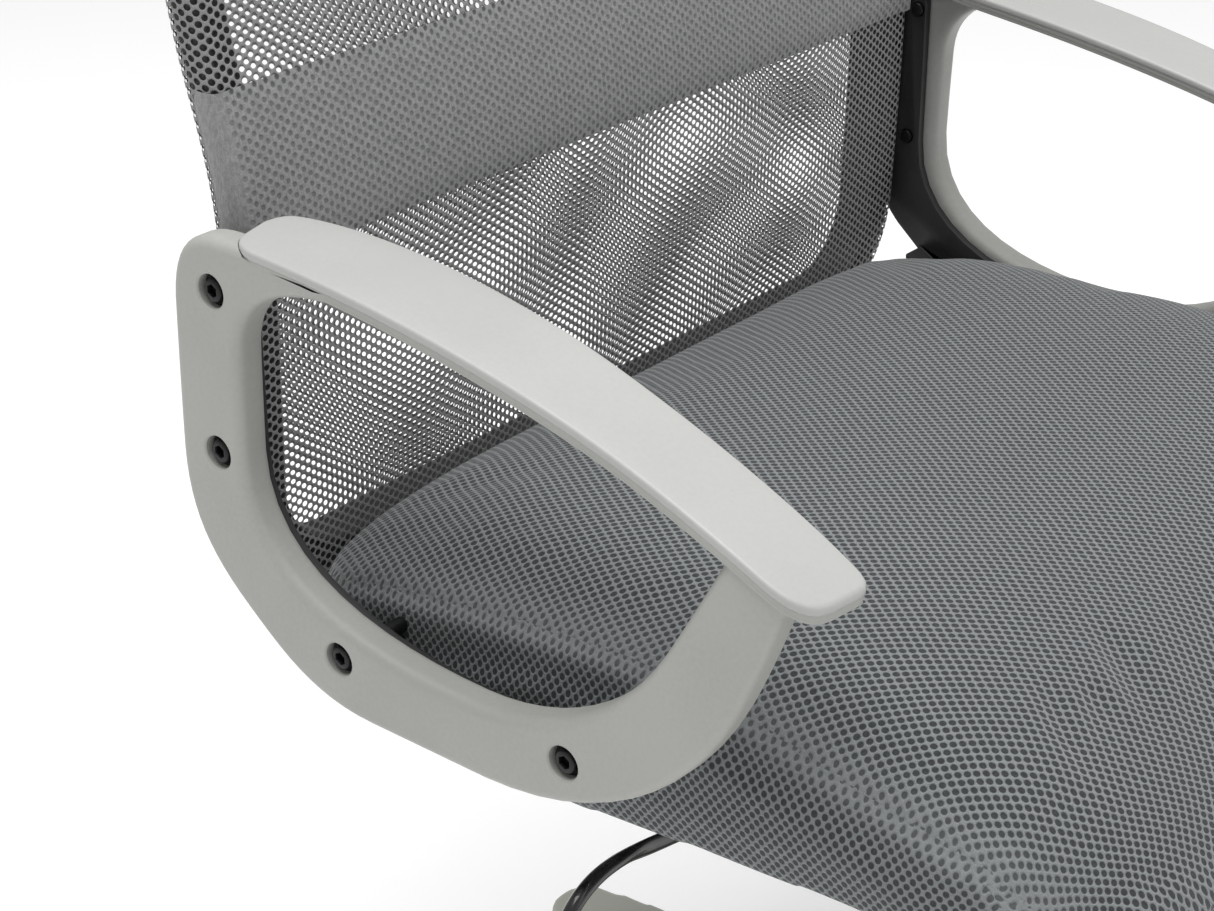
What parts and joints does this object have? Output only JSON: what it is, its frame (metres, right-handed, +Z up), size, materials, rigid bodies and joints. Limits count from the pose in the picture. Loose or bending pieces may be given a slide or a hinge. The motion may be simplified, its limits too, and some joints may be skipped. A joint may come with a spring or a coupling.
{
  "type": "gaming chair",
  "caption": "Swivel gaming chair with fixed loop arms, a mesh-covered foam seat, a see-through mesh back with a lumbar band, a gas lift and a five-leg base on twin-wheel casters.",
  "frame": {"origin": "on the floor under the centre of the chair's bounding box", "axes": "+Z up; the sitter faces -Y; +X is the sitter's left, and the lift lever is on the sitter's right (-X)"},
  "size_m": [0.58, 0.6167, 1.13],
  "materials": {
    "arm_plastic": "fine moulded texture, light warm grey",
    "pad_plastic": "smooth satin, off-white grey",
    "base_nylon": "satin glass-filled nylon, pale grey",
    "caster_nylon": "satin nylon, grey",
    "wheel_rubber": "soft grey polyurethane tread",
    "black_plastic": "moulded black nylon",
    "black_steel": "satin black powder coat",
    "lever_steel": "glossy black paint over bent bar",
    "bolt_steel": "black oxide button head",
    "zinc_steel": "bright zinc plate",
    "chrome": "ground and chromed rod",
    "seat_fabric": "open spacer mesh in rows of small holes, blue grey",
    "back_mesh": "see-through knitted mesh, grey",
    "band_felt": "dense felt-like knit, grey"
  },
  "bodies": {
    "base": {"star_base": "base_nylon", "caster_1_stem": "zinc_steel", "caster_2_stem": "zinc_steel", "caster_3_stem": "zinc_steel", "caster_4_stem": "zinc_steel", "caster_5_stem": "zinc_steel", "column_tube": "black_steel", "column_cover_lower": "black_plastic"},
    "caster_1_fork": {"caster_1_hood": "caster_nylon"},
    "caster_1_wheels": {"caster_1_axle": "zinc_steel", "caster_1_wheel_left": "wheel_rubber", "caster_1_wheel_right": "wheel_rubber"},
    "caster_2_fork": {"caster_2_hood": "caster_nylon"},
    "caster_2_wheels": {"caster_2_axle": "zinc_steel", "caster_2_wheel_left": "wheel_rubber", "caster_2_wheel_right": "wheel_rubber"},
    "caster_3_fork": {"caster_3_hood": "caster_nylon"},
    "caster_3_wheels": {"caster_3_axle": "zinc_steel", "caster_3_wheel_left": "wheel_rubber", "caster_3_wheel_right": "wheel_rubber"},
    "caster_4_fork": {"caster_4_hood": "caster_nylon"},
    "caster_4_wheels": {"caster_4_axle": "zinc_steel", "caster_4_wheel_left": "wheel_rubber", "caster_4_wheel_right": "wheel_rubber"},
    "caster_5_fork": {"caster_5_hood": "caster_nylon"},
    "caster_5_wheels": {"caster_5_axle": "zinc_steel", "caster_5_wheel_left": "wheel_rubber", "caster_5_wheel_right": "wheel_rubber"},
    "column_core": {"piston_rod": "chrome"},
    "cover_middle": {"column_cover_middle": "black_plastic"},
    "lift": {"gas_cylinder": "black_steel", "hub_bracket": "black_steel", "tilt_pin": "zinc_steel", "tension_spring": "zinc_steel", "column_cover_upper": "black_plastic"},
    "release_button": {"release_button": "zinc_steel"},
    "lever_slider": {"lever_bush": "black_plastic"},
    "lever": {"lift_lever": "lever_steel"},
    "seat": {"tilt_housing": "black_steel", "seat_pan": "black_plastic", "seat_cushion": "seat_fabric", "right_arm_shell": "arm_plastic", "right_arm_bracket": "black_plastic", "right_arm_pad": "pad_plastic", "right_arm_bolt_1": "bolt_steel", "right_arm_bolt_2": "bolt_steel", "right_arm_bolt_3": "bolt_steel", "right_arm_bolt_4": "bolt_steel", "left_arm_shell": "arm_plastic", "left_arm_bracket": "black_plastic", "left_arm_pad": "pad_plastic", "left_arm_bolt_1": "bolt_steel", "left_arm_bolt_2": "bolt_steel", "left_arm_bolt_3": "bolt_steel", "left_arm_bolt_4": "bolt_steel", "back_frame": "black_plastic", "back_mesh_front": "back_mesh", "back_mesh_rear": "back_mesh", "lumbar_band": "band_felt"},
    "knob": {"tension_knob": "black_plastic"}
  },
  "joints": [
    {"name": "caster_1_swivel", "type": "hinge", "parent": "base", "child": "caster_1_fork", "pos_m": [0, 0.215, 0.05], "axis": [0, 0, 1], "continuous": true},
    {"name": "caster_1_roll", "type": "hinge", "parent": "caster_1_fork", "child": "caster_1_wheels", "pos_m": [0, 0.231, 0.025], "axis": [1, 0, 0], "continuous": true},
    {"name": "caster_2_swivel", "type": "hinge", "parent": "base", "child": "caster_2_fork", "pos_m": [-0.26249, 0.02429, 0.05], "axis": [0, 0, 1], "continuous": true},
    {"name": "caster_2_roll", "type": "hinge", "parent": "caster_2_fork", "child": "caster_2_wheels", "pos_m": [-0.26249, 0.04029, 0.025], "axis": [1, 0, 0], "continuous": true},
    {"name": "caster_3_swivel", "type": "hinge", "parent": "base", "child": "caster_3_fork", "pos_m": [-0.16223, -0.28429, 0.05], "axis": [0, 0, 1], "continuous": true},
    {"name": "caster_3_roll", "type": "hinge", "parent": "caster_3_fork", "child": "caster_3_wheels", "pos_m": [-0.16223, -0.26829, 0.025], "axis": [1, 0, 0], "continuous": true},
    {"name": "caster_4_swivel", "type": "hinge", "parent": "base", "child": "caster_4_fork", "pos_m": [0.16223, -0.28429, 0.05], "axis": [0, 0, 1], "continuous": true},
    {"name": "caster_4_roll", "type": "hinge", "parent": "caster_4_fork", "child": "caster_4_wheels", "pos_m": [0.16223, -0.26829, 0.025], "axis": [1, 0, 0], "continuous": true},
    {"name": "caster_5_swivel", "type": "hinge", "parent": "base", "child": "caster_5_fork", "pos_m": [0.26249, 0.02429, 0.05], "axis": [0, 0, 1], "continuous": true},
    {"name": "caster_5_roll", "type": "hinge", "parent": "caster_5_fork", "child": "caster_5_wheels", "pos_m": [0.26249, 0.04029, 0.025], "axis": [1, 0, 0], "continuous": true},
    {"name": "chair_swivel", "type": "hinge", "parent": "base", "child": "column_core", "pos_m": [0, -0.061, 0.06], "axis": [0, 0, 1], "continuous": true},
    {"name": "seat_lift", "type": "slide", "parent": "column_core", "child": "lift", "axis": [0, 0, 1], "range_m": [0, 0.1]},
    {"name": "cover_slide", "type": "slide", "parent": "column_core", "child": "cover_middle", "axis": [0, 0, 1], "range_m": [0, 0.05]},
    {"name": "lever_pull", "type": "slide", "parent": "lift", "child": "lever_slider", "axis": [-1, 0, 0], "range_m": [0, 0.012]},
    {"name": "lever_lift", "type": "hinge", "parent": "lever_slider", "child": "lever", "pos_m": [-0.033, -0.031, 0.339], "axis": [0, 1, 0], "range_deg": [0, 2.5], "stiffness_Nm_per_rad": 3, "springref_deg": -2.86},
    {"name": "button_press", "type": "slide", "parent": "lift", "child": "release_button", "axis": [0, 0, -1], "range_m": [0, 0.0015], "stiffness_N_per_m": 200},
    {"name": "seat_tilt", "type": "hinge", "parent": "lift", "child": "seat", "pos_m": [0, -0.106, 0.338], "axis": [-1, 0, 0], "range_deg": [0, 6], "stiffness_Nm_per_rad": 120, "springref_deg": -20.05, "deforming": ["tension_spring"]},
    {"name": "knob_turn", "type": "hinge", "parent": "seat", "child": "knob", "pos_m": [0, -0.153, 0.26], "axis": [0, 0, 1], "range_deg": [-720, 720]}
  ],
  "couplings": [
    {"joint": "cover_slide", "follows": "seat_lift", "ratio": 0.5},
    {"joint": "button_press", "follows": "lever_lift", "m_per_rad": 0.033}
  ]
}
